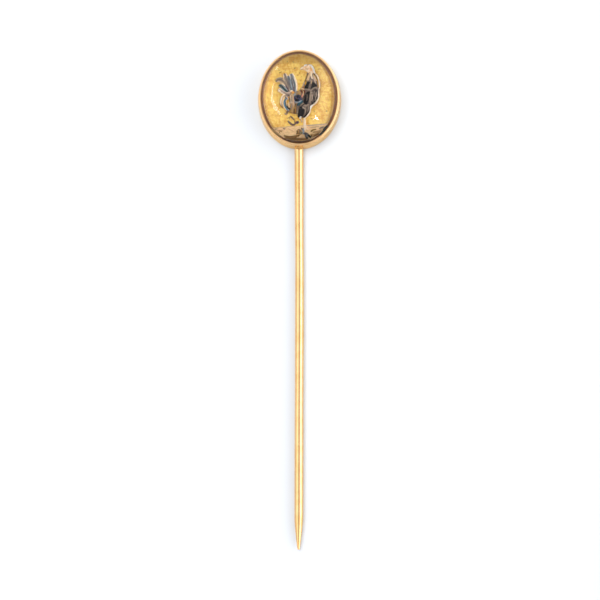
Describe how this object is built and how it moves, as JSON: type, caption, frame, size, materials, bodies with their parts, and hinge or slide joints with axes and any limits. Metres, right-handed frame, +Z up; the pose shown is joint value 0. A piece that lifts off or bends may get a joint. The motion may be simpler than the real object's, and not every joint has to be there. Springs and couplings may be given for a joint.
{
  "type": "stick pin",
  "caption": "Gold stick pin with an oval head: a domed rock crystal, carved and painted from behind with a gamecock, in a plain collet on a straight round pin.",
  "frame": {"origin": "middle of the pin's footprint, on the surface that it lies on", "axes": "+Y along the pin, from its point to its head; +Z up, out of the crystal's dome; +X to the right of the figure as it is seen"},
  "size_m": [0.0116, 0.07, 0.0057],
  "materials": {
    "gold": "polished yellow gold with fine wear",
    "rock_crystal": "clear, polished dome",
    "gold_ground": "gilt, finely brushed, with small dark specks",
    "paint_head": "oil colour, peach and white",
    "paint_body": "oil colour, black and taupe streaks",
    "paint_wing": "oil colour, blue-violet and teal",
    "paint_saddle": "oil colour, tan and gold-brown streaks",
    "paint_tail": "oil colour, blue-grey with pale edges",
    "paint_leg": "oil colour, cream",
    "paint_foot": "oil colour, mauve-grey",
    "paint_ground": "oil colour, beige and brown brush strokes"
  },
  "bodies": {
    "root": {"collet_and_pin": "gold", "crystal": "rock_crystal", "backing_plate": "gold_ground", "painted_head": "paint_head", "painted_body": "paint_body", "painted_wing": "paint_wing", "painted_saddle": "paint_saddle", "painted_tail": "paint_tail", "painted_leg": "paint_leg", "painted_foot": "paint_foot", "painted_ground": "paint_ground"}
  },
  "joints": []
}
